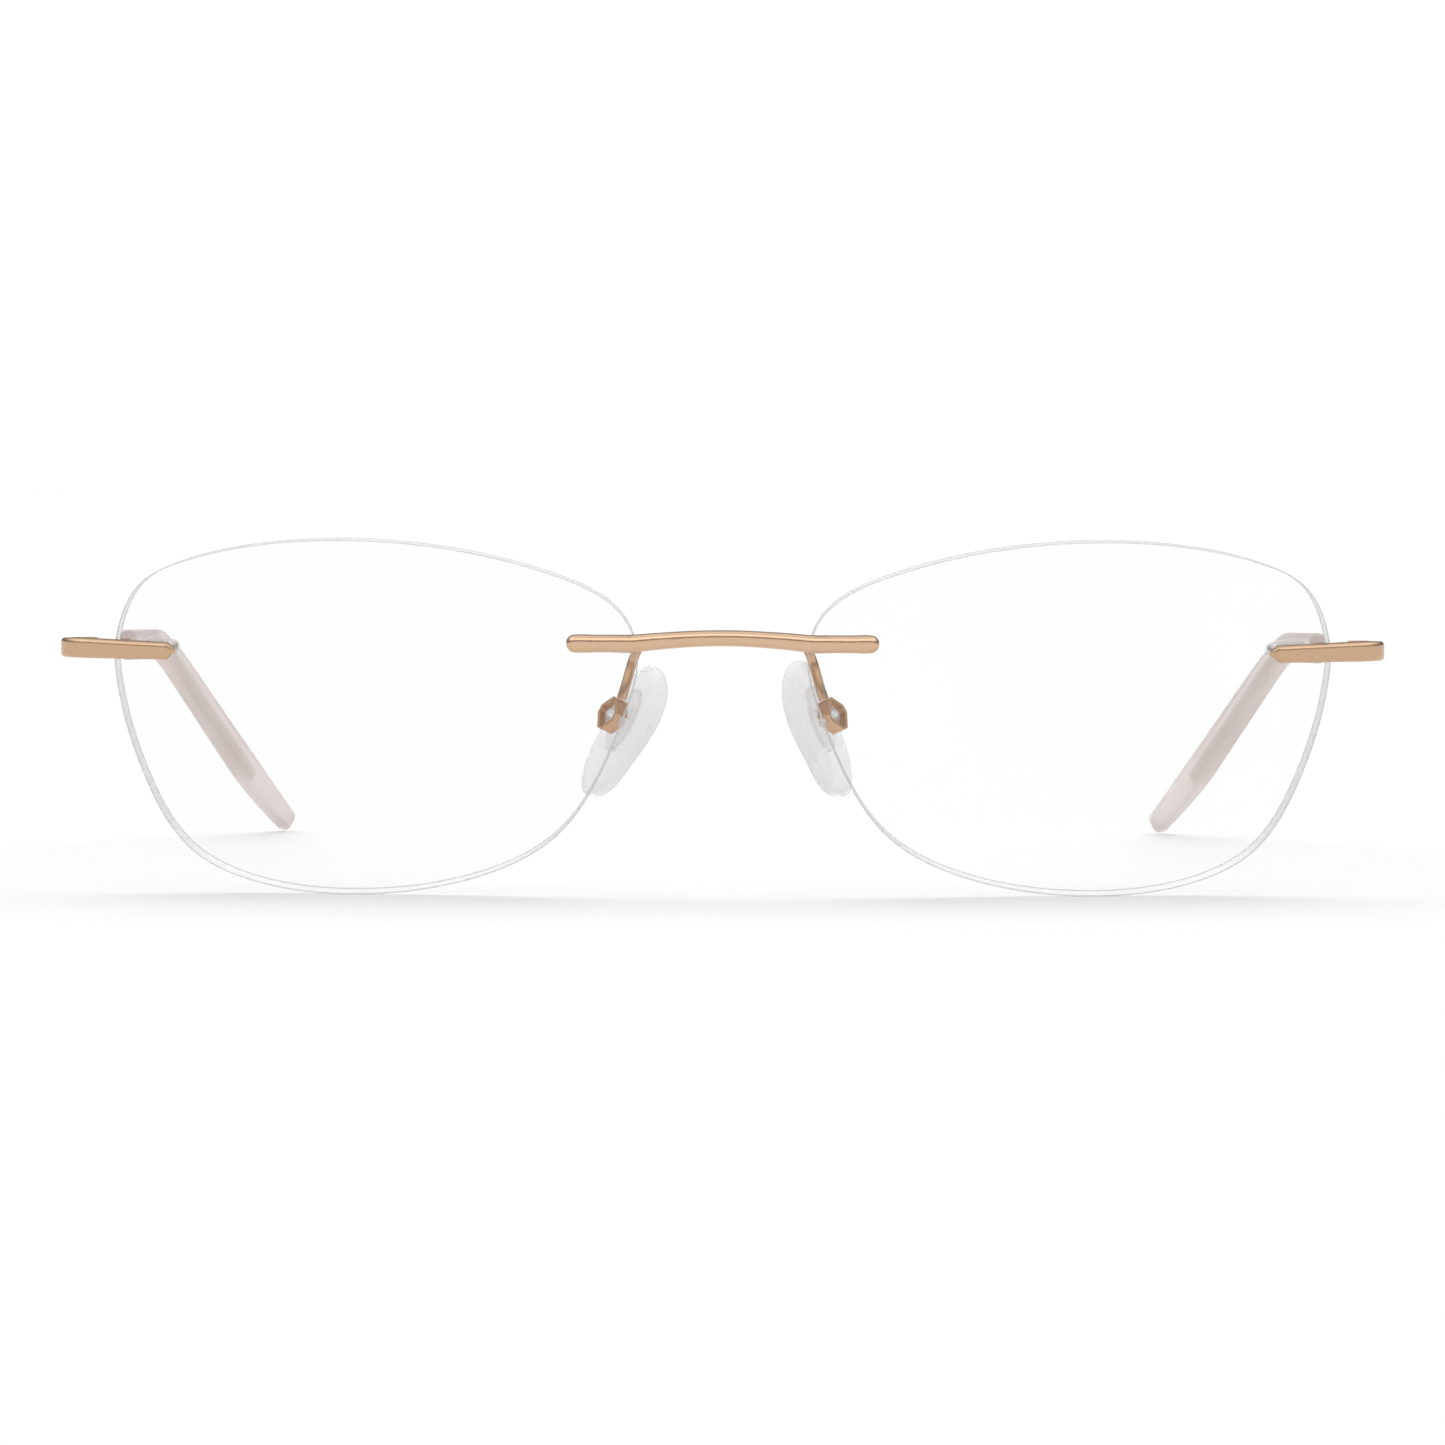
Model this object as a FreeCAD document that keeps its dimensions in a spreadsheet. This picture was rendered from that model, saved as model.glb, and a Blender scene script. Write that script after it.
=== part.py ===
"""Rimless eyeglasses: two drilled lenses carried by a bridge bar and two endpieces, folding temples, rocking nose pads.

Frame: +Z up, the wearer looks along -Y, +X is the wearer's left. The glasses stand open on the plane Z = 0, on the two
lower lens rims and the two temple tips, and the origin is under the middle of their bounding box.
Everything is modelled for the wearer's left (+X) and mirrored for the right.
"""
import FreeCAD, Part
import math
import os

from FreeCAD import Placement, Rotation, Vector

import Sketcher

doc = FreeCAD.newDocument("rimless_eyeglasses")

# ---------------------------------------------------------------- driving dimensions (mm and degrees)
DIMENSIONS = [
    ("lens_width", 55.7),            # boxed width of one lens, on its own plane
    ("lens_height", 38.35),           # boxed height of one lens, on its own plane
    ("lens_thickness", 1.45),
    ("lens_front_radius", 170.0),    # base curve of the front face
    ("lens_centre_side", 36.06),     # from the middle of the face to a lens's boxed centre
    ("lens_centre_up", 18.236),       # from the table to a lens's boxed centre
    ("lens_centre_back", -69.95),    # where the lenses stand along Y
    ("lens_wrap", 8.0),              # each lens turns back towards its temple
    ("lens_tilt", 14.0),             # the top of each lens leans forward
    ("hole_radius", 0.65),           # drilled holes, filled by the bushing barrels
    ("pin_radius", 0.42),
    ("seat_gap", 0.03),              # between a metal bar or a bushing flange and the curved lens
    ("bridge_half_length", 16.1),
    ("bridge_end_height", 1.76),
    ("bridge_arch_height", 1.56),
    ("bridge_arch_half_span", 9.3),
    ("bridge_arch_rise", 0.6),      # how far the middle of the bar stands above its ends
    ("bridge_thickness", 1.3),
    ("bridge_round", 0.8),           # rounding of the bar's front edges
    ("bridge_above_pins", 0.4),      # the bar's middle line stands this far above its pins
    ("bridge_pin_near", 10.9),       # the two nasal holes, from the middle of the bar
    ("bridge_pin_far", 14.3),
    ("nasal_mount_up", 7.68),        # height of the nasal holes above a lens's centre, on the lens
    ("temporal_mount_side", 23.15),   # middle of the two temporal holes, from a lens's centre, on the lens
    ("temporal_mount_up", 7.1),
    ("temporal_pin_spacing", 3.0),
    ("endpiece_tip_reach", 2.45),    # from the middle of the two holes to the pointed end
    ("endpiece_height", 2.02),
    ("endpiece_thickness", 1.15),
    ("endpiece_bend_radius", 3.2),
    ("endpiece_side", 68.46),       # middle of the bar once it has turned back beside the head
    ("endpiece_side_length", 6.6),   # from the corner of the bend to the hinge line
    ("hinge_offset", 1.75),          # from the middle of the bar to the hinge line
    ("knuckle_radius", 1.08),
    ("knuckle_half_stack", 1.05),
    ("middle_knuckle_half", 0.36),
    ("knuckle_gap", 0.05),
    ("screw_radius", 0.5),
    ("screw_head_radius", 0.78),
    ("screw_head_height", 0.3),
    ("screw_clearance", 0.03),
    ("temple_slope", 1.08),           # the open temple runs this far down towards the ear
    ("temple_toe_in", 1.25),          # and this far in
    ("temple_straight", 98.4),      # hinge line to the corner of the ear bend
    ("temple_bend_radius", 22.0),
    ("drop_back", 34.5),             # from the corner of the ear bend to the end of the tip
    ("drop_in", 11.85),
    ("drop_down", 22.59),
    ("sleeve_start", 59.0),          # where the plastic tip begins, from the hinge line
    ("core_short", 12.5),            # the metal core ends this far before the end of the tip
    ("pad_centre_side", 10.2),
    ("pad_centre_up", 16.95),
    ("pad_centre_back", 6.1),        # behind the lens centres
    ("pad_lean", 27.0),              # the pad's long axis leans in at the top
    ("pad_splay", 36.0),             # the pad's bearing face turns back
    ("pad_length", 15.0),
    ("pad_width", 7.1),
    ("pad_thickness", 2.2),
    ("pad_box_above_centre", 1.1),
    ("pad_box_turn", 2.0),           # the box is turned on its own axis against the pad
    ("pad_box_long", 4.5),           # corner to corner of the diamond-shaped box
    ("pad_box_short", 3.5),
    ("pad_box_wall", 0.34),
    ("pad_box_depth", 1.6),
    ("pad_box_standoff", 0.6),       # from the pad's back to the box
    ("left_pad_rest_turn", 11.0),     # the left pad rests this far round its rocking axis from the right one's angle
    ("pad_arm_width", 1.0),
    ("pad_arm_thickness", 0.7),
    ("pad_arm_root_side", 8.05),
]

dims = doc.addObject("Spreadsheet::Sheet", "dims")
for row, (alias, value) in enumerate(DIMENSIONS, start=1):
    dims.set(f"A{row}", alias)
    dims.set(f"B{row}", str(value))
    dims.setAlias(f"B{row}", alias)
doc.recompute()


def size(alias):
    """A driving dimension, read from the sheet."""
    return float(getattr(dims, alias))


# ---------------------------------------------------------------- frames
X, Y, Z = Vector(1, 0, 0), Vector(0, 1, 0), Vector(0, 0, 1)


def unit(vector):
    """The same direction, one long."""
    return Vector(vector).normalize()


def square_to(vector, direction):
    """The part of vector that is square to direction, one long."""
    return unit(vector - direction * vector.dot(direction))


def frame(origin, x_axis, y_axis, z_axis):
    """A placement from its origin and its three axes."""
    return Placement(origin, Rotation(x_axis, y_axis, z_axis, "ZXY"))


def axis_of(placement, axis):
    """One axis of a placement, in the model's frame."""
    return placement.Rotation.multVec(axis)


LENS = Placement(
    Vector(size("lens_centre_side"), size("lens_centre_back"), size("lens_centre_up")),
    Rotation(Z, size("lens_wrap")) * Rotation(X, 90 + size("lens_tilt")),
)


def lens_seat(side, up):
    """The frame on a lens's front face, side and up from its centre: x along the bar, y up, z out of the face."""
    radius = size("lens_front_radius")
    depth = math.sqrt(radius**2 - side**2 - up**2) - radius
    out = axis_of(LENS, Vector(side, up, depth + radius) * (1 / radius))
    along = square_to(axis_of(LENS, X), out)
    return frame(LENS.multVec(Vector(side, up, depth)), along, out.cross(along), out)


TEMPORAL_SEAT = lens_seat(size("temporal_mount_side"), size("temporal_mount_up"))
_nasal_side = (size("bridge_pin_near") + size("bridge_pin_far")) / 2 - size("lens_centre_side")
NASAL_SEAT = lens_seat(_nasal_side, size("nasal_mount_up"))
# The bridge bar lies along X, so only the seat's lean about X is kept, and its own middle is on the symmetry plane.
_bridge_out = square_to(axis_of(NASAL_SEAT, Z), X)
BRIDGE = frame(
    Vector(0, NASAL_SEAT.Base.y, NASAL_SEAT.Base.z) + _bridge_out * size("seat_gap"),
    X, _bridge_out.cross(X), _bridge_out,
)


def bar_line():
    """The endpiece's centre line: its seat point, its corner, and its directions along the lens and beside the head."""
    along = axis_of(TEMPORAL_SEAT, X)
    lift = size("seat_gap") + size("endpiece_thickness") / 2
    middle = TEMPORAL_SEAT.Base + axis_of(TEMPORAL_SEAT, Z) * lift
    corner = middle + along * ((size("endpiece_side") - middle.x) / along.x)
    slope, toe_in = math.radians(size("temple_slope")), math.radians(size("temple_toe_in"))
    back = Vector(-math.sin(toe_in), math.cos(toe_in), -math.tan(slope))
    return middle, corner, along, unit(back)


BAR_MIDDLE, BAR_CORNER, BAR_ALONG, BAR_BACK = bar_line()
_temple_up = square_to(Z, BAR_BACK)
_temple_in = _temple_up.cross(BAR_BACK)
HINGE = frame(  # x runs back along the open temple, y runs in, z is the hinge line
    BAR_CORNER + BAR_BACK * size("endpiece_side_length") + _temple_in * size("hinge_offset"),
    BAR_BACK, _temple_in, _temple_up,
)


def pad_frame():
    """The nose pad's frame: x across the pad, y along it and up, z out of its back, towards the box."""
    lean, splay = math.radians(size("pad_lean")), math.radians(size("pad_splay"))
    long_axis = Vector(-math.sin(lean), 0, math.cos(lean))
    bearing = square_to(Vector(-math.cos(splay), math.sin(splay), 0), long_axis)
    out = bearing * -1
    centre = Vector(
        size("pad_centre_side"),
        size("lens_centre_back") + size("pad_centre_back"),
        size("pad_centre_up"),
    )
    return frame(centre, long_axis.cross(out), long_axis, out)


PAD = pad_frame()
PAD_BOX = PAD * Placement(
    Vector(0, size("pad_box_above_centre"), size("pad_thickness") / 2 + size("pad_box_standoff")),
    Rotation(Z, size("pad_box_turn")),
)


# ---------------------------------------------------------------- building blocks
def bind(thing, **properties):
    """Binds each property of thing to an expression on the sheet."""
    for name, expression in properties.items():
        thing.setExpression(name, expression)
    return thing


def solid_cylinder(name, radius, height, placement):
    """A cylinder whose radius and height are expressions."""
    thing = bind(doc.addObject("Part::Cylinder", name), Radius=radius, Height=height)
    thing.Placement = placement
    return thing


def block(name, low, high, placement=Placement()):
    """A box between two corners, in the frame placement."""
    thing = doc.addObject("Part::Box", name)
    thing.Length, thing.Width, thing.Height = high - low
    thing.Placement = placement * Placement(low, Rotation())
    return thing


def fused(name, parts):
    """One solid out of several."""
    thing = doc.addObject("Part::MultiFuse", name)
    thing.Shapes = parts
    thing.Refine = True
    return thing


def cut(name, base, tools):
    """base less each tool."""
    thing = doc.addObject("Part::Cut", name)
    thing.Base = base
    thing.Tool = tools[0] if len(tools) == 1 else fused(name + "_tools", tools)
    return thing


def group(name, parts):
    """Several separate solids under one name."""
    thing = doc.addObject("Part::Compound", name)
    thing.Links = parts
    return thing


def feature(name, shape, placement=Placement()):
    """An object whose shape comes from Part's own functions."""
    thing = doc.addObject("Part::Feature", name)
    thing.Shape = shape
    thing.Placement = placement
    return thing


def plane_of(body, role):
    """One of a body's own origin planes."""
    return next(f for f in body.Origin.OriginFeatures if f.Role == role)


def sketch_in(body, name, height=0.0, role="XY_Plane"):
    """An empty sketch on one of the body's own planes, raised by height."""
    sketch = body.newObject("Sketcher::SketchObject", name)
    sketch.AttachmentSupport = [(plane_of(body, role), "")]
    sketch.MapMode = "FlatFace"
    sketch.AttachmentOffset = Placement(Vector(0, 0, height), Rotation())
    return sketch


def add_circle(sketch, centre, radius):
    """A circle at a fixed centre, its radius bound to the sheet."""
    n = sketch.addGeometry(Part.Circle(centre, Z, 1.0), False)
    sketch.addConstraint(Sketcher.Constraint("DistanceX", -1, 1, n, 3, centre.x))
    sketch.addConstraint(Sketcher.Constraint("DistanceY", -1, 1, n, 3, centre.y))
    c = sketch.addConstraint(Sketcher.Constraint("Radius", n, 1.0))
    sketch.setExpression(f"Constraints[{c}]", radius)


def add_loop(sketch, curves):
    """A closed run of curves, each joined to the next."""
    first = sketch.GeometryCount
    for curve in curves:
        sketch.addGeometry(curve, False)
    for i in range(len(curves)):
        after = first + (i + 1) % len(curves)
        sketch.addConstraint(Sketcher.Constraint("Coincident", first + i, 2, after, 1))
        sketch.addConstraint(Sketcher.Constraint("Block", first + i))


def lines_through(points):
    """Straight runs from point to point, closed."""
    return [Part.LineSegment(a, b) for a, b in zip(points, points[1:] + points[:1])]


def pad_up(body, sketch, name, length):
    """A Pad of a sketch, its length bound to the sheet."""
    pad = body.newObject("PartDesign::Pad", name)
    pad.Profile = sketch
    bind(pad, Length=length)
    return pad


def rounded_section(middle, across, up, width, height, corner, far_corner=None):
    """A closed rounded rectangle: width along across, height along up; far_corner is for the side away from across."""
    w, h = width / 2, height / 2
    near = min(corner, 0.97 * w, 0.97 * h)
    far = near if far_corner is None else min(far_corner, 0.97 * w, 0.97 * h)
    arcs = []
    for sa, sb, r in ((1, 1, near), (-1, 1, far), (-1, -1, far), (1, -1, near)):
        k = r * (1 - math.sqrt(0.5))
        ends = [(sa * w, sb * (h - r)), (sa * (w - r), sb * h)]
        if sa * sb < 0:
            ends.reverse()
        spots = [ends[0], (sa * (w - k), sb * (h - k)), ends[1]]
        arcs.append([middle + across * u + up * v for u, v in spots])
    edges = []
    for arc, following in zip(arcs, arcs[1:] + arcs[:1]):
        edges.append(Part.Arc(*arc).toShape())
        edges.append(Part.makeLine(arc[2], following[0]))
    return Part.Wire(edges)


def run_of_lofts(name, runs):
    """One solid from lofts laid end to end; each run is its sections, and whether it stays straight between them."""
    return fused(name, [
        feature(f"{name}_{i}", Part.makeLoft(wires, True, straight)) for i, (wires, straight) in enumerate(runs)
    ])


# ---------------------------------------------------------------- the lens
# The outline's points, as shares of half the boxed width (towards the temple) and half the boxed height (up).
LENS_OUTLINE = [
    (1.0, 0.26), (0.977, 0.52), (0.89, 0.738), (0.71, 0.875), (0.365, 0.98), (-0.2, 0.975), (-0.68, 0.812),
    (-0.968, 0.53), (-1.0, 0.36), (-0.947, 0.02), (-0.827, -0.36), (-0.68, -0.65), (-0.345, -0.905),
    (0.095, -1.0), (0.47, -0.95), (0.735, -0.77), (0.9, -0.37),
]


def outline_sketch(name, height):
    """The lens outline, scaled from the centre of the base curve to the given height above the front vertex."""
    radius = size("lens_front_radius")
    scale = (radius + height) / radius
    w, h = size("lens_width") / 2 * scale, size("lens_height") / 2 * scale
    curve = Part.BSplineCurve()
    curve.interpolate(Points=[Vector(u * w, v * h, 0) for u, v in LENS_OUTLINE], PeriodicFlag=True)
    sketch = doc.addObject("Sketcher::SketchObject", name)
    sketch.addGeometry(curve, False)
    sketch.Placement = Placement(Vector(0, 0, height), Rotation())
    return sketch


def sphere(name, radius):
    """A base-curve sphere through the front vertex's centre, its poles turned away from the lens."""
    ball = bind(doc.addObject("Part::Sphere", name), Radius=radius)
    ball.Placement = Placement(Vector(0, 0, -size("lens_front_radius")), Rotation(X, 90))
    return ball


def hole_drills(seat, spots, radius, name):
    """Cylinders through a seat, at spots along its x axis, long enough to pass the lens."""
    low = Vector(0, 0, -3.0 - size("lens_thickness"))
    return [
        solid_cylinder(f"{name}_{i}", radius, "6 + dims.lens_thickness",
                       seat * Placement(low + X * spot, Rotation()))
        for i, spot in enumerate(spots)
    ]


def temporal_spots():
    """Where the temporal pins stand along their seat."""
    half = size("temporal_pin_spacing") / 2
    return [-half, half]


def nasal_spots():
    """Where the nasal pins stand along the bridge bar."""
    return [size("bridge_pin_near"), size("bridge_pin_far")]


def make_lens():
    """A spherical shell, edged to the outline square to its faces, drilled for both mounts."""
    shell = cut("lens_shell", sphere("lens_front", "dims.lens_front_radius"),
                [sphere("lens_back", "dims.lens_front_radius - dims.lens_thickness")])
    edger = doc.addObject("Part::Loft", "lens_edger")
    edger.Sections = [outline_sketch("outline_front", 2.0), outline_sketch("outline_back", -10.0)]
    edger.Solid, edger.Ruled = True, True
    blank = doc.addObject("Part::Common", "lens_edged")
    blank.Base, blank.Tool = edger, shell
    blank.Placement = LENS
    drills = hole_drills(TEMPORAL_SEAT, temporal_spots(), "dims.hole_radius", "temporal_drill")
    drills += hole_drills(BRIDGE, nasal_spots(), "dims.hole_radius", "nasal_drill")
    lens = cut("lens", blank, drills)
    lens.Label = "left_lens"
    return lens


# ---------------------------------------------------------------- bushings and pins
FLANGE_THICKNESS = 0.35
FLANGE_MARGIN = 0.15     # of the flange round the barrels
BARREL_TOP_SHORT = 0.1    # the barrels end this far under the lens's front face
PIN_PAST_FLANGE = 0.35


def make_bushing(label, seat, spots, depth_to_back):
    """A clear plastic bushing: an oval flange on the lens's back with two barrels that fill the holes."""
    body = doc.addObject("PartDesign::Body", label + "_body")
    body.Label = label
    low, high = min(spots), max(spots)
    r = size("hole_radius") + FLANGE_MARGIN
    under = depth_to_back + size("seat_gap") * 2
    flange = sketch_in(body, label + "_flange", -under - FLANGE_THICKNESS)
    add_loop(flange, [
        Part.LineSegment(Vector(low, -r), Vector(high, -r)),
        Part.Arc(Vector(high, -r), Vector(high + r, 0), Vector(high, r)),
        Part.LineSegment(Vector(high, r), Vector(low, r)),
        Part.Arc(Vector(low, r), Vector(low - r, 0), Vector(low, -r)),
    ])
    pad = body.newObject("PartDesign::Pad", label + "_flange_pad")
    pad.Profile = flange
    pad.Length = FLANGE_THICKNESS
    barrels = sketch_in(body, label + "_barrels", -under)
    for spot in spots:
        add_circle(barrels, Vector(spot, 0), "dims.hole_radius")
    pad = body.newObject("PartDesign::Pad", label + "_barrel_pad")
    pad.Profile = barrels
    pad.Length = under - BARREL_TOP_SHORT
    bores = sketch_in(body, label + "_bores")
    for spot in spots:
        add_circle(bores, Vector(spot, 0), "dims.pin_radius")
    pocket = body.newObject("PartDesign::Pocket", label + "_bore_pocket")
    pocket.Profile = bores
    pocket.Type = "ThroughAll"
    pocket.Midplane = True
    body.Tip = pocket
    body.Placement = seat
    return body


def make_pins(label, seats, top):
    """Round pins brazed into the back of a bar, one for each (seat, spot), in one group."""
    pins = []
    for i, (seat, spot, depth) in enumerate(seats):
        low = -(depth + FLANGE_THICKNESS + PIN_PAST_FLANGE)
        pin = bind(doc.addObject("Part::Cylinder", f"{label}_{i}"), Radius="dims.pin_radius")
        pin.Height = top - low
        pin.Placement = seat * Placement(Vector(spot, 0, low), Rotation())
        rounded = doc.addObject("Part::Fillet", f"{label}_{i}_rounded")
        rounded.Base = pin
        rounded.Edges = [(3, 0.2, 0.2)]
        pins.append(rounded)
    pin_group = group(label + "_group", pins)
    pin_group.Label = label
    return pin_group


# ---------------------------------------------------------------- bridge bar
END_CAP_ANGLES = (25, 45, 62, 75)


def make_bridge():
    """A bar with a flat back and a round front across the nose, arched between the lenses, with round ends."""
    half, span = size("bridge_half_length"), size("bridge_arch_half_span")
    end, arch = size("bridge_end_height"), size("bridge_arch_height")
    rise, thickness = size("bridge_arch_rise"), size("bridge_thickness")
    base = size("bridge_above_pins")
    straight = half - end / 2
    stations = []          # (side, height of the middle line, height of the bar, share of its thickness)
    for share in (0.0, 0.33, 0.63, 0.87, 1.0):
        middle = rise * math.cos(share * math.pi / 2)
        stations.append((span * share, middle, arch + (end - arch) * share**2, 1.0))
    stations += [(span + 1.2, 0.0, end, 1.0), (straight - 1.5, 0.0, end, 1.0), (straight, 0.0, end, 1.0)]
    for degrees in END_CAP_ANGLES:
        angle = math.radians(degrees)
        shrink = math.cos(angle)
        stations.append((straight + end / 2 * math.sin(angle), 0.0, end * shrink, 0.45 + 0.55 * shrink))
    stations = [(-side, *rest) for side, *rest in reversed(stations[1:])] + stations
    wires = [
        rounded_section(Vector(side, base + middle, thickness * share / 2), Z, Y, thickness * share, height,
                        size("bridge_round") * share, 0.12)
        for side, middle, height, share in stations
    ]
    bridge = feature("bridge", Part.makeLoft(wires, True, False), BRIDGE)
    bridge.Label = "bridge_bar"
    return bridge


# ---------------------------------------------------------------- endpiece
ENDPIECE_INNER_HEIGHT = 0.86   # the bar's height by its pointed end, as a share of its height at the hinge
ENDPIECE_CORNERS = (0.42, 0.15)      # rounding of the bar's outer edges and of the edges on the lens
POINT_LENGTH = 0.8
POINT_HEIGHT = 0.3
POINT_THICKNESS = 0.45
BUTT_GAP = 0.03                # half the gap between the endpiece and the temple
BEND_STEPS = 6


def make_endpiece():
    """The bar lies on the lens, turns back round the outer corner and ends square at the hinge line."""
    turn = BAR_ALONG.getAngle(BAR_BACK)
    radius, thickness = size("endpiece_bend_radius"), size("endpiece_thickness")
    reach = radius * math.tan(turn / 2)
    arc_from, arc_to = BAR_CORNER - BAR_ALONG * reach, BAR_CORNER + BAR_BACK * reach
    centre = arc_from + square_to(BAR_BACK, BAR_ALONG) * radius
    up_front, up_back = axis_of(TEMPORAL_SEAT, Y), axis_of(HINGE, Z)
    height = size("endpiece_height")
    start = BAR_MIDDLE - BAR_ALONG * (size("endpiece_tip_reach") - POINT_LENGTH)
    finish = BAR_CORNER + BAR_BACK * (size("endpiece_side_length") - BUTT_GAP)

    inward = square_to(BAR_BACK, BAR_ALONG)

    def section(point, direction, roll, grown):
        """A section whose height grows away from the pointed end and whose up direction rolls round the bend."""
        up = square_to(up_front * (1 - roll) + up_back * roll, direction)
        tall = height * (ENDPIECE_INNER_HEIGHT + (1 - ENDPIECE_INNER_HEIGHT) * grown)
        return rounded_section(point, direction.cross(up), up, thickness, tall, *ENDPIECE_CORNERS)

    bend = []
    for i in range(BEND_STEPS + 1):
        angle = turn * i / BEND_STEPS
        direction = BAR_ALONG * math.cos(angle) + inward * math.sin(angle)
        point = centre - (inward * math.cos(angle) - BAR_ALONG * math.sin(angle)) * radius
        bend.append(section(point, direction, i / BEND_STEPS, 1.0))
    back = axis_of(TEMPORAL_SEAT, Z) * -1
    tip = start - BAR_ALONG * POINT_LENGTH + back * (thickness - POINT_THICKNESS) * 0.5
    across = BAR_ALONG.cross(up_front)
    point_wires = [
        rounded_section(start, across, up_front, thickness, height * ENDPIECE_INNER_HEIGHT, *ENDPIECE_CORNERS),
        rounded_section(tip, across, up_front, POINT_THICKNESS, POINT_HEIGHT, 0.1),
    ]
    endpiece = run_of_lofts("endpiece", [
        (point_wires, True),
        ([section(start, BAR_ALONG, 0.0, 0.0), section(arc_from, BAR_ALONG, 0.0, 1.0)], True),
        (bend, False),
        ([section(arc_to, BAR_BACK, 1.0, 1.0), section(finish, BAR_BACK, 1.0, 1.0)], True),
    ])
    endpiece.Label = "left_endpiece"
    return endpiece


# ---------------------------------------------------------------- hinge
LEAF_LENGTH = 2.6
LEAF_START = 1.1
LEAF_THICKNESS = 0.5
LEAF_HALF_HEIGHT = 0.9


def knuckle(name, low, high):
    """A short barrel round the hinge line."""
    return solid_cylinder(name, "dims.knuckle_radius", f"{high - low}",
                          Placement(Vector(0, 0, low), Rotation()))


def make_hinge_leaf(name, label, side, barrels, bores):
    """A leaf brazed inside a bar, with a web and a barrel for each (low, high); side is -1 in front, 1 behind."""
    face = -(size("hinge_offset") - size("endpiece_thickness") / 2)
    near, far = sorted((side * LEAF_START, side * (LEAF_START + LEAF_LENGTH)))
    parts = [block(name + "_plate", Vector(near, face, -LEAF_HALF_HEIGHT),
                   Vector(far, face + LEAF_THICKNESS, LEAF_HALF_HEIGHT))]
    for i, (low, high) in enumerate(barrels):
        web_near, web_far = sorted((0.0, side * (LEAF_START + 0.8)))
        parts.append(knuckle(f"{name}_barrel_{i}", low, high))
        parts.append(block(f"{name}_web_{i}", Vector(web_near, face + 0.02, low),
                           Vector(web_far, face + 0.72, high)))
    solid = fused(name + "_solid", parts)
    tools = []
    for i, (radius, low, high) in enumerate(bores):
        tools.append(solid_cylinder(f"{name}_bore_{i}", radius, f"{high - low}",
                                    Placement(Vector(0, 0, low), Rotation())))
    leaf = cut(name, solid, tools)
    leaf.Label = label
    leaf.Placement = HINGE
    return leaf


def make_hinge():
    """One barrel on the endpiece between two on the temple, and the screw that pins them."""
    stack, middle = size("knuckle_half_stack"), size("middle_knuckle_half")
    outer = middle + size("knuckle_gap")
    running = "dims.screw_radius + dims.screw_clearance"
    head = stack - size("screw_head_height")
    front = make_hinge_leaf("front_leaf", "left_hinge_front", -1, [(-middle, middle)],
                            [(running, -2.0, 2.0)])
    rear = make_hinge_leaf(
        "rear_leaf", "left_hinge_rear", 1, [(outer, stack), (-stack, -outer)],
        [(running, 0.0, 2.0), ("dims.screw_radius", -2.0, 0.0),
         ("dims.screw_head_radius + dims.screw_clearance", head - 0.02, 2.0)])
    shank = solid_cylinder("screw_shank", "dims.screw_radius", f"{head + stack}",
                           Placement(Vector(0, 0, -stack), Rotation()))
    cap = solid_cylinder("screw_cap", "dims.screw_head_radius", "dims.screw_head_height",
                         Placement(Vector(0, 0, head), Rotation()))
    slot = block("screw_slot", Vector(-1.0, -0.11, stack - 0.16), Vector(1.0, 0.11, stack + 0.2))
    screw = cut("screw", fused("screw_solid", [shank, cap]), [slot])
    screw.Label = "left_hinge_screw"
    screw.Placement = HINGE
    return front, rear, screw


# ---------------------------------------------------------------- temple arm and tip
def temple_path():
    """Along the temple, in the hinge frame: the length to the end, and a function from length to (point, direction)."""
    offset = -size("hinge_offset")
    corner = Vector(size("temple_straight"), offset, 0)
    drop = Vector(size("drop_back"), size("drop_in"), -size("drop_down"))
    down = unit(drop)
    turn = X.getAngle(down)
    radius = size("temple_bend_radius")
    reach = radius * math.tan(turn / 2)
    side = square_to(down, X)
    before, arc = corner.x - reach, radius * turn
    total = before + arc + drop.Length - reach

    def at(length):
        if length <= before:
            return Vector(length, offset, 0), Vector(X)
        if length <= before + arc:
            angle = (length - before) / radius
            point = Vector(before, offset, 0) + X * (radius * math.sin(angle))
            point += side * (radius * (1 - math.cos(angle)))
            return point, X * math.cos(angle) + side * math.sin(angle)
        return corner + down * (reach + length - before - arc), down

    return total, before, before + arc, at


TEMPLE_LENGTH, BEND_FROM, BEND_TO, TEMPLE_AT = temple_path()
TIP_ROLL = 13.0        # degrees that the tip's flat sides lean out by its end


def temple_section(length, thickness, height, corner, lift=0.0):
    """A rounded section square to the temple's path, its height near upright, its middle raised by lift."""
    point, direction = TEMPLE_AT(length)
    up = square_to(Z, direction)
    past = max(0.0, (length - BEND_FROM) / (TEMPLE_LENGTH - BEND_FROM))
    up = Rotation(direction, -TIP_ROLL * past).multVec(up)
    return rounded_section(point + up * lift, direction.cross(up), up, thickness, height, corner)


def steps_between(first, last, step):
    """Evenly spaced lengths from first to last, both included, about step apart."""
    n = max(1, round((last - first) / step))
    return [first + (last - first) * i / n for i in range(n + 1)]


CORE_THICKNESS, CORE_HEIGHT = 0.9, 1.35
BAR_TAPER_FROM, BAR_TAPER_TO = 6.0, 36.0      # the arm thins over this stretch, from the hinge line
SLEEVE_CORNER = 0.75
TIP_NOSE, TIP_NOSE_TRIM = 17.0, 1.5          # the lower edge of the tip rises over this last stretch, by this much


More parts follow.
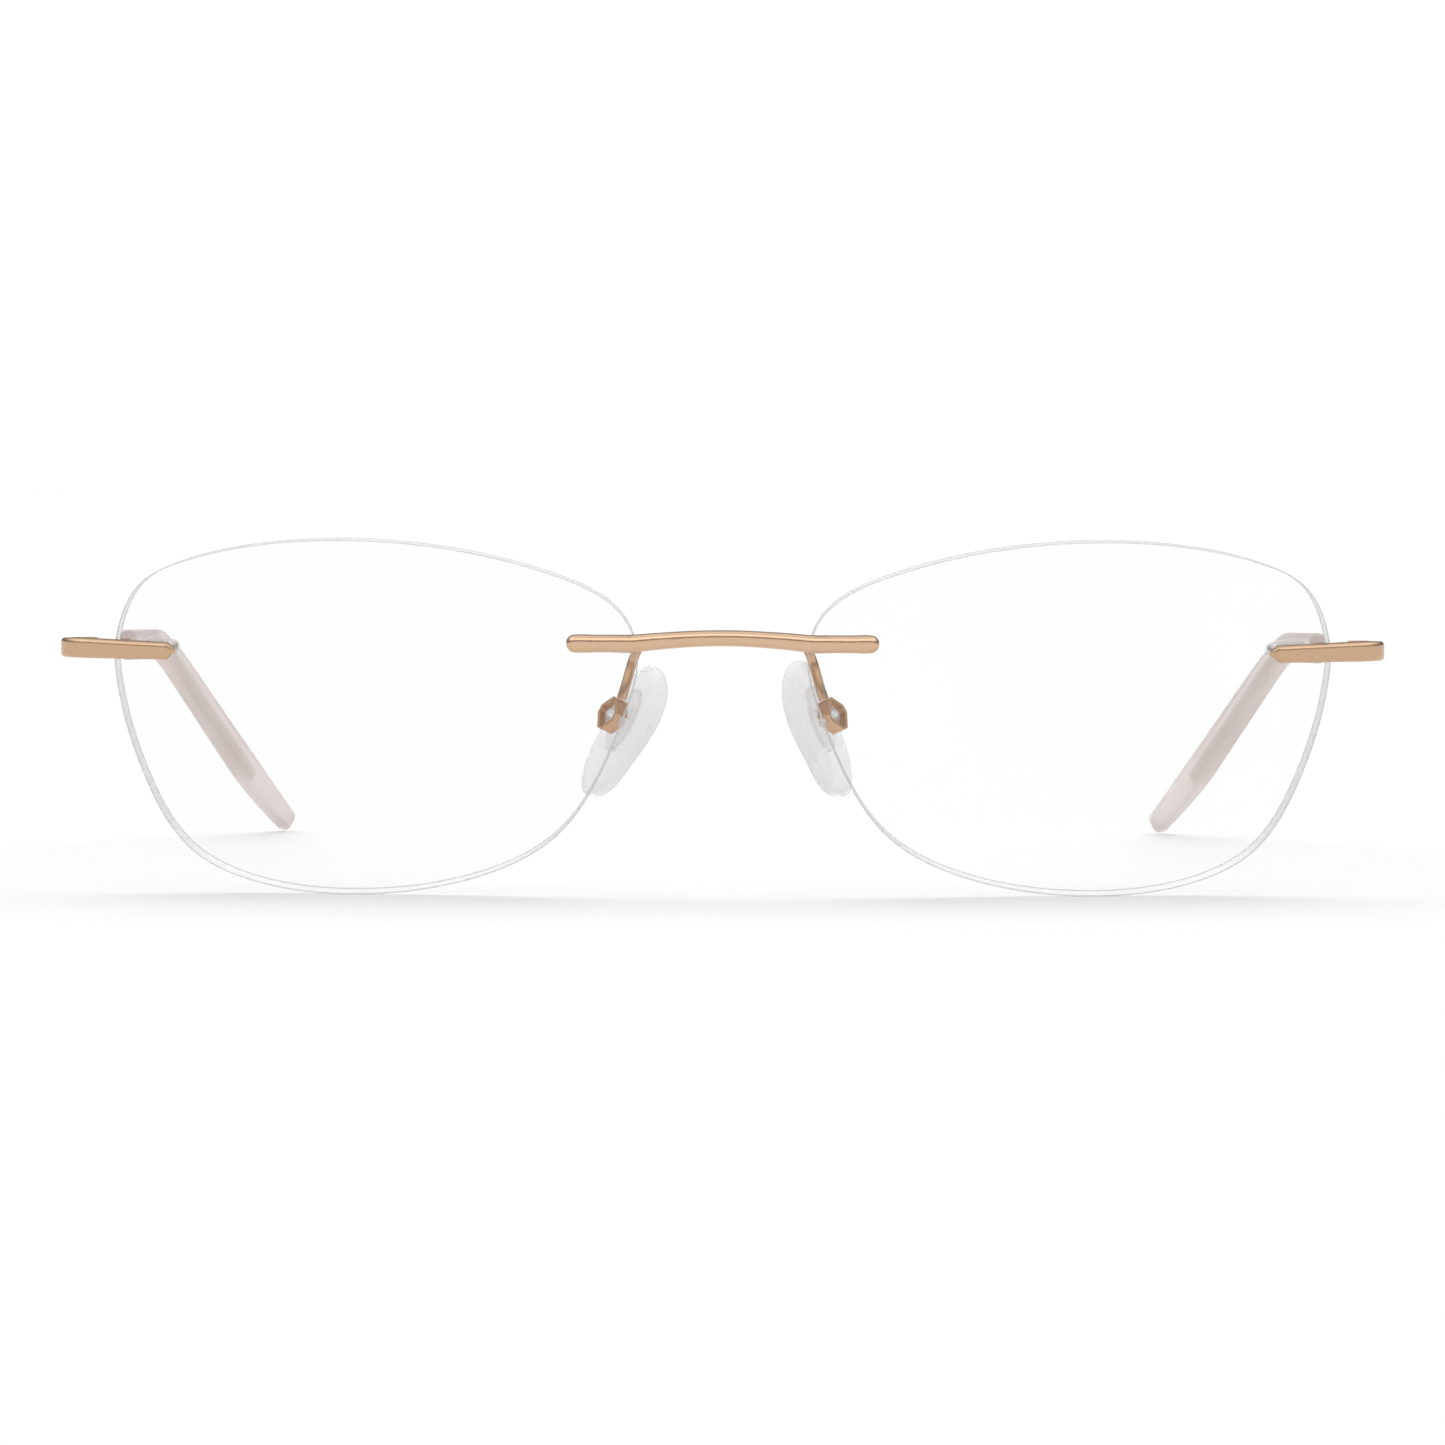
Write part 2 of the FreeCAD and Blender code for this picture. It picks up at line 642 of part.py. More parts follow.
def core_section(length):
    """The arm's section: full at the hinge, thinning to the core."""
    share = (length - BAR_TAPER_FROM) / (BAR_TAPER_TO - BAR_TAPER_FROM)
    share = min(1.0, max(0.0, share))
    thickness = size("endpiece_thickness") * (1 - share) + CORE_THICKNESS * share
    height = size("endpiece_height") * (1 - share) + CORE_HEIGHT * share
    return temple_section(length, thickness, height, 0.28)


def sleeve_section(length, inset=0.0):
    """The plastic tip's section, widening down the drop; inset shrinks it all round."""
    past = max(0.0, (length - BEND_FROM) / (TEMPLE_LENGTH - BEND_FROM))
    thickness, height = 1.8 + 0.1 * past, 3.4 + 0.65 * past
    nose = max(0.0, (length - TEMPLE_LENGTH + TIP_NOSE) / TIP_NOSE)
    trim = TIP_NOSE_TRIM * nose**1.6
    return temple_section(length, thickness - 2 * inset, height - trim - 2 * inset, SLEEVE_CORNER - inset, trim / 2)


def make_temple():
    """A flat metal arm that thins towards the ear and runs on as the core of the plastic tip."""
    sleeve, core_end = size("sleeve_start"), TEMPLE_LENGTH - size("core_short")
    bend = steps_between(BEND_FROM, BEND_TO, (BEND_TO - BEND_FROM) / 4)
    arm = run_of_lofts("temple_arm", [
        ([core_section(n) for n in (BUTT_GAP, BAR_TAPER_FROM, BAR_TAPER_TO, BEND_FROM)], True),
        ([core_section(n) for n in bend], False),
        ([core_section(n) for n in (BEND_TO, core_end)], True),
    ])
    arm.Placement = HINGE
    arm.Label = "left_temple_arm"
    closed = TEMPLE_LENGTH - 0.45
    outside = run_of_lofts("temple_sleeve", [
        ([sleeve_section(sleeve, 0.2), sleeve_section(sleeve + 0.2)], True),
        ([sleeve_section(n) for n in (sleeve + 0.2, BEND_FROM)], True),
        ([sleeve_section(n) for n in bend], False),
        ([sleeve_section(n) for n in (BEND_TO, TEMPLE_LENGTH - TIP_NOSE)], True),
        ([sleeve_section(n) for n in steps_between(TEMPLE_LENGTH - TIP_NOSE, closed, 2.6)], False),
        ([sleeve_section(closed), sleeve_section(TEMPLE_LENGTH - 0.14, 0.16),
          sleeve_section(TEMPLE_LENGTH, 0.5)], True),
    ])
    outside.Placement = HINGE
    tip = cut("temple_tip", outside, [arm])
    tip.Label = "left_temple_tip"
    return arm, tip


# ---------------------------------------------------------------- pad box, pad arm and nose pad
LUG_CLEARANCE = 0.32
NUB_RADIUS = 0.36
NUB_CLEARANCE = 0.05
NUB_DEPTH = 0.42          # from the box's pad-side rim to the rocking axis


def diamond(long_half, short_half, cut_corner):
    """An eight-sided diamond, long axis up, with its corners cut."""
    points = []
    corners = [Vector(short_half, 0), Vector(0, long_half), Vector(-short_half, 0), Vector(0, -long_half)]
    for i, corner in enumerate(corners):
        before, after = corners[i - 1], corners[(i + 1) % 4]
        points.append(corner + unit(before - corner) * cut_corner)
        points.append(corner + unit(after - corner) * cut_corner)
    return points


def make_pad_box():
    """A short diamond-shaped tube, open at both ends, with a notch in each side corner for the lug's nubs."""
    body = doc.addObject("PartDesign::Body", "pad_box_body")
    body.Label = "left_pad_box"
    long_half, short_half, wall = size("pad_box_long") / 2, size("pad_box_short") / 2, size("pad_box_wall")
    walls = sketch_in(body, "pad_box_walls")
    add_loop(walls, lines_through(diamond(long_half, short_half, 0.55)))
    inner = wall * math.sqrt(2)
    add_loop(walls, lines_through(diamond(long_half - inner, short_half - inner, 0.32)))
    pad_up(body, walls, "pad_box_tube", "dims.pad_box_depth")
    notch = sketch_in(body, "pad_box_notch", role="YZ_Plane")
    r = NUB_RADIUS + NUB_CLEARANCE
    add_loop(notch, [
        Part.LineSegment(Vector(-r, -0.5), Vector(r, -0.5)),
        Part.LineSegment(Vector(r, -0.5), Vector(r, NUB_DEPTH)),
        Part.Arc(Vector(r, NUB_DEPTH), Vector(0, NUB_DEPTH + r), Vector(-r, NUB_DEPTH)),
        Part.LineSegment(Vector(-r, NUB_DEPTH), Vector(-r, -0.5)),
    ])
    pocket = body.newObject("PartDesign::Pocket", "pad_box_notches")
    pocket.Profile = notch
    pocket.Type = "ThroughAll"
    pocket.Midplane = True
    body.Tip = pocket
    body.Placement = PAD_BOX
    return body


ROOT_GAP = 0.002          # keeps the arm's end just clear of the bar's flat back


def make_pad_arm():
    """A flat strip from the back of the bridge, past the lens's edge, down to the top of the box."""
    back, width, thickness = axis_of(BRIDGE, Z) * -1, size("pad_arm_width"), size("pad_arm_thickness")
    root = BRIDGE.multVec(Vector(size("pad_arm_root_side"), size("bridge_above_pins") - 0.35, 0))
    top = PAD_BOX.multVec(Vector(0, size("pad_box_long") / 2 - 0.3, size("pad_box_depth") * 0.5))
    lens_y = size("lens_centre_back")
    points = [
        root,
        root + Vector(0.05, 2.4, 0.15),
        Vector(size("pad_arm_root_side") + 0.35, lens_y + 3.0, root.z + 0.2),
        Vector(size("pad_arm_root_side") + 1.15, lens_y + 4.9, root.z - 1.35),
        top + (Vector(size("pad_arm_root_side") + 1.15, lens_y + 4.9, root.z - 1.35) - top) * 0.5,
        top,
    ]
    curve = Part.BSplineCurve()
    curve.interpolate(points)
    wires = []
    steps = 14
    for i in range(steps + 1):
        at = curve.FirstParameter + (curve.LastParameter - curve.FirstParameter) * i / steps
        direction = unit(curve.tangent(at)[0])
        across = square_to(Vector(1, 0.35 * i / steps, 0), direction)
        wires.append(rounded_section(curve.value(at), across, direction.cross(across), width, thickness, 0.3))
    wires[0] = rounded_section(root + back * ROOT_GAP, X, back.cross(X), width, thickness, 0.3)
    arm = feature("pad_arm_loft", Part.makeLoft(wires, True, False))
    tool = feature("pad_box_space", Part.makeBox(1, 1, 1))
    long_half, short_half = size("pad_box_long") / 2, size("pad_box_short") / 2
    loop = Part.makePolygon(diamond(long_half, short_half, 0.55) + diamond(long_half, short_half, 0.55)[:1])
    tool.Shape = Part.Face(loop).extrude(Vector(0, 0, size("pad_box_depth")))
    tool.Placement = PAD_BOX
    pad_arm = cut("pad_arm", arm, [tool])
    pad_arm.Label = "left_pad_arm"
    return pad_arm


PAD_OUTLINE = [   # shares of half the width (out towards the temple) and half the length (up)
    (-0.1, 1.0), (-0.78, 0.74), (-1.0, 0.22), (-0.74, -0.4), (-0.3, -0.9),
    (0.16, -1.0), (0.55, -0.82), (0.78, -0.2), (0.72, 0.4), (0.42, 0.87),
]
PLATE_THICKNESS = 0.5


def make_nose_pad():
    """A soft clear pad moulded round a hard plate, whose lug and nubs click into the box."""
    half_w, half_l = size("pad_width") / 2, size("pad_length") / 2
    thick = size("pad_thickness")
    body = doc.addObject("PartDesign::Body", "nose_pad_body")
    outline = sketch_in(body, "nose_pad_outline", -thick / 2)
    curve = Part.BSplineCurve()
    curve.interpolate(Points=[Vector(u * half_w, v * half_l, 0) for u, v in PAD_OUTLINE], PeriodicFlag=True)
    outline.addGeometry(curve, False)
    pad = pad_up(body, outline, "nose_pad_slab", "dims.pad_thickness")
    doc.recompute()
    bearing = [f"Edge{i}" for i, e in enumerate(pad.Shape.Edges, 1) if abs(e.CenterOfMass.z + thick / 2) < 1e-6]
    rounding = body.newObject("PartDesign::Fillet", "nose_pad_bearing_edge")
    rounding.Base = (pad, bearing)
    rounding.Radius = 0.9
    doc.recompute()
    outer = [f"Edge{i}" for i, e in enumerate(rounding.Shape.Edges, 1) if abs(e.CenterOfMass.z - thick / 2) < 1e-6]
    back_rounding = body.newObject("PartDesign::Fillet", "nose_pad_back_edge")
    back_rounding.Base = (rounding, outer)
    back_rounding.Radius = 0.6
    body.Tip = back_rounding
    body.Placement = PAD

    above = size("pad_box_above_centre")
    plate = bind(doc.addObject("Part::Ellipse", "plate_outline"),
                 MajorRadius="dims.pad_length * 0.24", MinorRadius="dims.pad_width * 0.2")
    plate.Placement = Placement(Vector(0, above, thick / 2 - PLATE_THICKNESS), Rotation(Z, 90))
    slab = doc.addObject("Part::Extrusion", "plate_slab")
    slab.Base, slab.Solid, slab.Dir, slab.LengthFwd = plate, True, Z, PLATE_THICKNESS
    inner = size("pad_box_wall") * math.sqrt(2) + LUG_CLEARANCE * math.sqrt(2)
    long_half, short_half = size("pad_box_long") / 2 - inner, size("pad_box_short") / 2 - inner
    loop = diamond(long_half, short_half, 0.2)
    lug_height = size("pad_box_standoff") + size("pad_box_depth") * 0.72
    lug = feature("lug_block", Part.Face(Part.makePolygon(loop + loop[:1])).extrude(Vector(0, 0, lug_height)),
                  Placement(Vector(0, above, thick / 2), Rotation(Z, size("pad_box_turn"))))
    reach = size("pad_box_short") / 2 - 0.05
    nub = doc.addObject("Part::Cylinder", "lug_nubs")
    nub.Radius, nub.Height = NUB_RADIUS, 2 * reach
    nub.Placement = lug.Placement * Placement(
        Vector(-reach, 0, size("pad_box_standoff") + NUB_DEPTH), Rotation(Y, 90))
    core = fused("pad_core", [slab, lug, nub])
    core.Label = "left_pad_core"
    core.Placement = PAD
    soft = cut("nose_pad", body, [core])
    soft.Label = "left_nose_pad"
    return core, soft


# ---------------------------------------------------------------- assembly
def mirrored(thing):
    """The wearer's right-hand copy of a left-hand part."""
    copy = doc.addObject("Part::Mirroring", thing.Name + "_mirrored")
    copy.Source = thing
    copy.Base, copy.Normal = Vector(0, 0, 0), X
    copy.Label = thing.Label.replace("left_", "right_", 1)
    return copy


def turned(thing, label, placement):
    """The same part set at another angle, under a label of its own."""
    copy = group(thing.Name + "_turned", [thing])
    copy.Label = label
    copy.Placement = placement
    return copy


lens = make_lens()
depth = size("lens_thickness")
temporal_bushing = make_bushing("left_temporal_bushing", TEMPORAL_SEAT, temporal_spots(), depth)
nasal_bushing = make_bushing("left_nasal_bushing", BRIDGE, nasal_spots(), depth + size("seat_gap"))
bridge = make_bridge()
bridge_pins = make_pins("bridge_pins", [
    (BRIDGE, side * spot, depth + size("seat_gap") * 3) for side in (-1, 1) for spot in nasal_spots()], 0.0)
endpiece = make_endpiece()
endpiece_pins = make_pins("left_endpiece_pins", [
    (TEMPORAL_SEAT, spot, depth + size("seat_gap") * 2) for spot in temporal_spots()], size("seat_gap"))
hinge_front, hinge_rear, hinge_screw = make_hinge()
temple_arm, temple_tip = make_temple()
pad_box = make_pad_box()
pad_arm = make_pad_arm()
pad_core, nose_pad = make_nose_pad()

both_sides = [lens, temporal_bushing, nasal_bushing, endpiece, endpiece_pins, hinge_front, hinge_rear,
              hinge_screw, temple_arm, temple_tip, pad_box, pad_arm]
pad_parts = [pad_core, nose_pad]
parts = [bridge, bridge_pins] + both_sides + [mirrored(part) for part in both_sides + pad_parts]
rock_line = PAD_BOX * Placement(Vector(0, 0, NUB_DEPTH), Rotation())
rest_turn = rock_line * Placement(Vector(), Rotation(X, size("left_pad_rest_turn"))) * rock_line.inverse()
for part in pad_parts:
    label, part.Label = part.Label, part.Label.replace("left_", "straight_")
    parts.append(turned(part, label, rest_turn))
doc.recompute()

for thing in doc.Objects:
    if any(word in thing.State for word in ("Invalid", "Error")):
        raise RuntimeError(f"{thing.Label} failed: {thing.State}")
for part in parts:
    if part.Shape.isNull() or not part.Shape.isValid() or not part.Shape.Solids:
        raise RuntimeError(f"{part.Label} has no valid solid")

os.makedirs("parts", exist_ok=True)
for part in parts:
    part.Shape.exportStep(f"parts/{part.Label}.step")

whole = Part.makeCompound([part.Shape for part in parts]).BoundBox
print("box", [round(v, 3) for v in (whole.XMin, whole.XMax, whole.YMin, whole.YMax, whole.ZMin, whole.ZMax)])
print("hinge line", HINGE.Base, axis_of(HINGE, Z))
print("temple length", round(TEMPLE_LENGTH, 2))
print("pad pivot", PAD_BOX.multVec(Vector(0, 0, NUB_DEPTH)), axis_of(PAD_BOX, X))
print("temple side", HINGE.multVec(Vector(4.0, -size("hinge_offset") - size("endpiece_thickness") / 2, 0)),
      axis_of(HINGE, Y) * -1)
for part in parts:
    print(part.Label, round(part.Shape.Volume, 3), len(part.Shape.Solids))
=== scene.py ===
"""Rimless eyeglasses, standing open on a white table: looks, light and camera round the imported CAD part."""

import math

import bmesh
import bpy
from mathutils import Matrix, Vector


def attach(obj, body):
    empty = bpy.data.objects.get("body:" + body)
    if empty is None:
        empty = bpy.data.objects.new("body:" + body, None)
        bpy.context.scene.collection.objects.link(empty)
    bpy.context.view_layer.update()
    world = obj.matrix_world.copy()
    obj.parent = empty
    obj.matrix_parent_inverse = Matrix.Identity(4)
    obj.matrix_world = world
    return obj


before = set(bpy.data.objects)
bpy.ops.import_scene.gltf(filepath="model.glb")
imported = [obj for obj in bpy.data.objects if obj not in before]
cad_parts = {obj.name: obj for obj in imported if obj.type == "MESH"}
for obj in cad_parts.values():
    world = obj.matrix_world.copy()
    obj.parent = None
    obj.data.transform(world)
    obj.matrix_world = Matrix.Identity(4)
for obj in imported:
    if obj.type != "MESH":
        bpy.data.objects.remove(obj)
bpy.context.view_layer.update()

# ---------------------------------------------------------------- sizes, in metres
MM = 0.001
LENS_RADIUS = 170.0 * MM                              # the curve of a lens's front face
LENS_THICKNESS = 1.45 * MM
LENS_CENTRE = Vector((36.06, -69.95, 18.236)) * MM    # the front vertex of the wearer's left lens
LENS_WRAP = math.radians(8.0)                         # how far a lens turns back on its temple side
LENS_TILT = math.radians(14.0)                        # how far a lens's bottom leans back
FACE_TOLERANCE = 0.02 * MM                            # a point this near to a lens's curve is on its face
PAD_LEAN = {-1: math.radians(27.0), 1: math.radians(20.0)}     # how far each pad's length leans in at the top


def curve_centre(side):
    """The centre of a lens's base curve; side is 1 for the wearer's left."""
    out = Vector((math.cos(LENS_TILT) * math.sin(LENS_WRAP), -math.cos(LENS_TILT) * math.cos(LENS_WRAP),
                  -math.sin(LENS_TILT)))
    centre = LENS_CENTRE - out * LENS_RADIUS
    return (side * centre.x, centre.y, centre.z)


# ---------------------------------------------------------------- node helpers
NOISE_LOW, NOISE_HIGH = 0.3, 0.7      # a noise texture's value seldom leaves this band


def new_material(name):
    """An empty node material and its tree."""
    material = bpy.data.materials.new(name)
    material.use_nodes = True
    tree = material.node_tree
    tree.nodes.clear()
    return material, tree


def add(tree, kind, settings=None, **inputs):
    """A node with its attributes from settings and its sockets set or linked from inputs.

    An input is named by its socket, with _ for a space, or numbered: i0, i1 and so on.
    """
    node = tree.nodes.new(kind)
    for key, value in (settings or {}).items():
        setattr(node, key, value)
    for key, value in inputs.items():
        numbered = key[0] == "i" and key[1:].isdigit()
        socket = node.inputs[int(key[1:]) if numbered else key.replace("_", " ")]
        if isinstance(value, bpy.types.NodeSocket):
            tree.links.new(value, socket)
        else:
            socket.default_value = value
    return node


def maths(tree, operation, a, b=0.0):
    """One Math node's result."""
    return add(tree, "ShaderNodeMath", {"operation": operation}, i0=a, i1=b).outputs[0]


def vector_maths(tree, operation, a, b):
    """One Vector Math node."""
    return add(tree, "ShaderNodeVectorMath", {"operation": operation}, i0=a, i1=b)


def mapped(tree, value, low, high, to_low, to_high, smooth=True):
    """A Map Range node's result."""
    settings = {"interpolation_type": "SMOOTHSTEP" if smooth else "LINEAR"}
    node = add(tree, "ShaderNodeMapRange", settings, Value=value, From_Min=low, From_Max=high,
               To_Min=to_low, To_Max=to_high)
    return node.outputs[0]


def ramp(tree, value, *stops):
    """A colour ramp's colour; each stop is (position, colour)."""
    node = add(tree, "ShaderNodeValToRGB", Fac=value)
    elements = node.color_ramp.elements
    elements[0].position, elements[0].color = stops[0][0], (*stops[0][1], 1)
    elements[1].position, elements[1].color = stops[-1][0], (*stops[-1][1], 1)
    for position, colour in stops[1:-1]:
        elements.new(position).color = (*colour, 1)
    return node.outputs[0]


def place(tree):
    """The point in the piece's own frame, in metres."""
    return add(tree, "ShaderNodeTexCoord").outputs["Object"]


def stretched(tree, vector, scale):
    """The vector times a scale for each axis."""
    return vector_maths(tree, "MULTIPLY", vector, scale).outputs[0]


def noise(tree, vector, scale, detail=2.0, roughness=0.5):
    """A noise texture's value; scale is about how many spots there are to a unit of the vector."""
    node = add(tree, "ShaderNodeTexNoise", Vector=vector, Scale=scale, Detail=detail, Roughness=roughness)
    return node.outputs[0]


def bump(tree, height, strength, distance):
    """A bump normal."""
    return add(tree, "ShaderNodeBump", Height=height, Strength=strength, Distance=distance).outputs[0]


def mixed_shader(tree, share, first, second):
    """A mix of two shader nodes; share is how much of the second."""
    return add(tree, "ShaderNodeMixShader", i0=share, i1=first.outputs[0], i2=second.outputs[0])


def see_through(tree, colour):
    """A shader that lets light straight through, tinted."""
    return add(tree, "ShaderNodeBsdfTransparent", Color=colour)


def finish(tree, shader):
    """Connects a shader node to the surface."""
    add(tree, "ShaderNodeOutputMaterial", Surface=shader.outputs[0])


# ---------------------------------------------------------------- materials
DULLEST = 0.95                        # the dullest blotch of the plating, as a share of its tone
COATING_IOR = 1.22                    # low, because a lens's coating cuts its glare
LENS_SHADE = (0.83, 0.83, 0.832, 1)   # how much of the light for matt surfaces passes each lens face
EDGE_CLEAR = 0.55                     # how much of a lens's ground edge shows what lies behind
BEVEL_CLEAR = 0.62                    # the same for its bevel
SILICONE_CLEAR = 0.62                 # and for a pad
FLOW_ACROSS, FLOW_ALONG = 2600.0, 150.0       # a pad's flow lines, to a metre across it and along it


def rose_gold(name, base=(0.61, 0.405, 0.262), rough=0.2, grain=0.0, brush=(300.0, 300.0, 300.0)):
    """Satin champagne plating with blotches of tone, and with brush marks where grain is above nothing.

    brush is about how many marks there are to a metre along each axis.
    """
    material, tree = new_material(name)
    point = place(tree)
    fine = noise(tree, stretched(tree, point, brush), scale=1.0)
    broad = noise(tree, point, scale=300.0, detail=3.0)
    blotches = maths(tree, "MULTIPLY", broad, 1.0 - grain)
    marks = maths(tree, "MULTIPLY", fine, grain)
    dull = tuple(DULLEST * c for c in base)
    tone = ramp(tree, maths(tree, "ADD", blotches, marks), (NOISE_LOW, dull), (NOISE_HIGH, base))
    roughness = mapped(tree, broad, NOISE_LOW, NOISE_HIGH, rough - 0.02, rough + 0.04)
    finish(tree, add(tree, "ShaderNodeBsdfPrincipled", Base_Color=tone, Metallic=1.0, Roughness=roughness,
                     Normal=bump(tree, fine, strength=0.25 * grain, distance=0.01 * MM)))
    return material


def lens_material(name, centre):
    """Clear coated plastic: its two faces let light straight through, its ground edge is frosted and pale.

    A face reflects only on the way in, so that no light is trapped between the two. Light on its way to matt
    surfaces is dimmed, which gives the lens its soft shadow.
    """
    material, tree = new_material(name)
    point = place(tree)
    from_centre = vector_maths(tree, "DISTANCE", point, centre).outputs["Value"]
    faces = []
    for radius in (LENS_RADIUS, LENS_RADIUS - LENS_THICKNESS):
        off = maths(tree, "ABSOLUTE", maths(tree, "SUBTRACT", from_centre, radius))
        faces.append(maths(tree, "LESS_THAN", off, FACE_TOLERANCE))
    face = maths(tree, "MAXIMUM", *faces)

    smear = noise(tree, point, scale=40.0)
    window_tone = ramp(tree, smear, (NOISE_LOW, (0.986, 0.987, 0.988)), (NOISE_HIGH, (0.992, 0.993, 0.993)))
    path = add(tree, "ShaderNodeLightPath")
    to_matt = maths(tree, "MAXIMUM", path.outputs["Is Shadow Ray"], path.outputs["Is Diffuse Ray"])
    clear = mixed_shader(tree, to_matt, see_through(tree, window_tone), see_through(tree, LENS_SHADE))
    gloss = add(tree, "ShaderNodeBsdfGlossy", Color=(1, 1, 1, 1), Roughness=0.02)
    fresnel = add(tree, "ShaderNodeFresnel", IOR=COATING_IOR).outputs[0]
    leaving = add(tree, "ShaderNodeNewGeometry").outputs["Backfacing"]
    shine = maths(tree, "MULTIPLY", fresnel, maths(tree, "SUBTRACT", 1.0, leaving))
    window = mixed_shader(tree, shine, clear, gloss)

    grind = bump(tree, noise(tree, point, scale=5200.0), strength=0.15, distance=0.02 * MM)
    frosted = add(tree, "ShaderNodeBsdfPrincipled", Base_Color=(0.74, 0.74, 0.742, 1), Roughness=0.42,
                  Transmission_Weight=0.3, IOR=1.3, Normal=grind)
    edge = mixed_shader(tree, EDGE_CLEAR, frosted, see_through(tree, (0.92, 0.92, 0.925, 1)))
    finish(tree, mixed_shader(tree, face, edge, window))
    return material


def bevel_material():
    """The lens's safety bevel: a fine ground line that catches the light."""
    material, tree = new_material("lens_bevel_ground")
    grind = noise(tree, place(tree), scale=3000.0)
    tone = ramp(tree, grind, (NOISE_LOW, (0.86, 0.86, 0.86)), (NOISE_HIGH, (0.89, 0.89, 0.89)))
    ground = add(tree, "ShaderNodeBsdfPrincipled", Base_Color=tone, Roughness=0.35)
    finish(tree, mixed_shader(tree, BEVEL_CLEAR, ground, see_through(tree, (0.93, 0.93, 0.935, 1))))
    return material


def silicone(name, side):
    """Soft clear silicone with fine flow lines along the pad; side is 1 for the wearer's left."""
    material, tree = new_material(name)
    point = place(tree)
    sine, cosine = math.sin(PAD_LEAN[side]), math.cos(PAD_LEAN[side])
    along = vector_maths(tree, "DOT_PRODUCT", point, (-side * sine, 0.0, cosine)).outputs["Value"]
    across = vector_maths(tree, "DOT_PRODUCT", point, (cosine, 0.0, side * sine)).outputs["Value"]
    lines = add(tree, "ShaderNodeCombineXYZ", X=maths(tree, "MULTIPLY", across, FLOW_ACROSS),
                Y=maths(tree, "MULTIPLY", along, FLOW_ALONG)).outputs[0]
    flow = mapped(tree, noise(tree, lines, scale=1.0, detail=3.0, roughness=0.6), 0.52, 0.72, 0.0, 1.0)
    cloud = mapped(tree, noise(tree, point, scale=260.0), 0.45, 0.6, 0.0, 1.0)
    mark = maths(tree, "MULTIPLY", flow, cloud)
    tone = ramp(tree, mark, (0.0, (0.97, 0.97, 0.972)), (1.0, (0.86, 0.86, 0.865)))
    body = add(tree, "ShaderNodeBsdfPrincipled", Base_Color=tone, Roughness=0.2, IOR=1.3,
               Transmission_Weight=0.4, Normal=bump(tree, mark, strength=0.15, distance=0.05 * MM))
    # What shows through darkens toward the pad's outline: partly the longer path through the silicone, partly
    # painted shade standing in for the light its edge bends away.
    rim = add(tree, "ShaderNodeLayerWeight", Blend=0.35).outputs["Facing"]
    through = see_through(tree, ramp(tree, rim, (0.35, (0.965, 0.965, 0.967)), (0.95, (0.80, 0.80, 0.805))))
    finish(tree, mixed_shader(tree, SILICONE_CLEAR, body, through))
    return material


def clear_plastic(name, see, tint=(0.95, 0.952, 0.955)):
    """Hard clear plastic for the bushings and the plates inside the pads; see is how clear it is."""
    material, tree = new_material(name)
    roughness = mapped(tree, noise(tree, place(tree), scale=2400.0), NOISE_LOW, NOISE_HIGH, 0.1, 0.2)
    body = add(tree, "ShaderNodeBsdfPrincipled", Base_Color=(*tint, 1), IOR=1.3, Transmission_Weight=0.4,
               Roughness=roughness)
    finish(tree, mixed_shader(tree, see, body, see_through(tree, (0.975, 0.975, 0.977, 1))))
    return material


def frosted_tip(name):
    """Milky pinkish acetate: the metal core shows through as a soft streak."""
    material, tree = new_material(name)
    point = place(tree)
    cloud = noise(tree, point, scale=160.0, detail=3.0)
    tone = ramp(tree, cloud, (0.35, (0.93, 0.865, 0.845)), (0.65, (0.955, 0.90, 0.885)))
    grain = bump(tree, noise(tree, point, scale=3200.0), strength=0.08, distance=0.02 * MM)
    finish(tree, add(tree, "ShaderNodeBsdfPrincipled", Base_Color=tone, Roughness=0.4, IOR=1.2,
                     Transmission_Weight=0.48, Normal=grain))
    return material


def steel(name):
    """Bright turned steel for the hinge screws."""
    material, tree = new_material(name)
    rings = noise(tree, stretched(tree, place(tree), (3000.0, 3000.0, 12000.0)), scale=1.0)
    roughness = mapped(tree, rings, NOISE_LOW, NOISE_HIGH, 0.22, 0.36)
    finish(tree, add(tree, "ShaderNodeBsdfPrincipled", Base_Color=(0.62, 0.60, 0.575, 1), Metallic=1.0,
                     Roughness=roughness))
    return material


# The bar's plating is given a brighter tone than the endpiece's: a painted highlight, standing in for the
# bright reflection along the bridge.
bar_metal_with_painted_highlight = rose_gold("rose_gold_bar_painted_highlight", base=(0.70, 0.475, 0.32), grain=0.15, brush=(500.0, 3000.0, 3000.0))
end_metal = rose_gold("rose_gold_endpiece", rough=0.26, grain=0.6, brush=(5200.0, 5200.0, 260.0))
arm_metal = rose_gold("rose_gold_arm", base=(0.64, 0.43, 0.285), rough=0.28)
box_metal = rose_gold("rose_gold_box", base=(0.70, 0.455, 0.30), rough=0.28)
looks = {
    "bridge_bar": bar_metal_with_painted_highlight,
    "bridge_pins": bar_metal_with_painted_highlight,
    "endpiece_pins": bar_metal_with_painted_highlight,
    "endpiece": end_metal,
    "temple_arm": end_metal,
    "pad_arm": arm_metal,
    "pad_box": box_metal,
    "hinge_front": box_metal,
    "hinge_rear": box_metal,
    "hinge_screw": steel("screw_steel_turned"),
    "temple_tip": frosted_tip("frosted_acetate"),
    "pad_core": clear_plastic("pad_core_clear", 0.6, tint=(0.92, 0.922, 0.925)),
    "temporal_bushing": clear_plastic("bushing_clear", 0.82, tint=(0.99, 0.985, 0.98)),
    "nasal_bushing": clear_plastic("bushing_clear_nasal", 0.85),
}
for name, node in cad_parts.items():
    side, part = name.split("_", 1) if name.startswith(("left_", "right_")) else ("", name)
    if part == "lens":
        look = lens_material(f"{side}_lens_clear", curve_centre(1 if side == "left" else -1))
    elif part == "nose_pad":
        look = silicone(f"{side}_clear_silicone", 1 if side == "left" else -1)
    else:
        look = looks[part]
    for slot in node.material_slots:
        slot.material = look

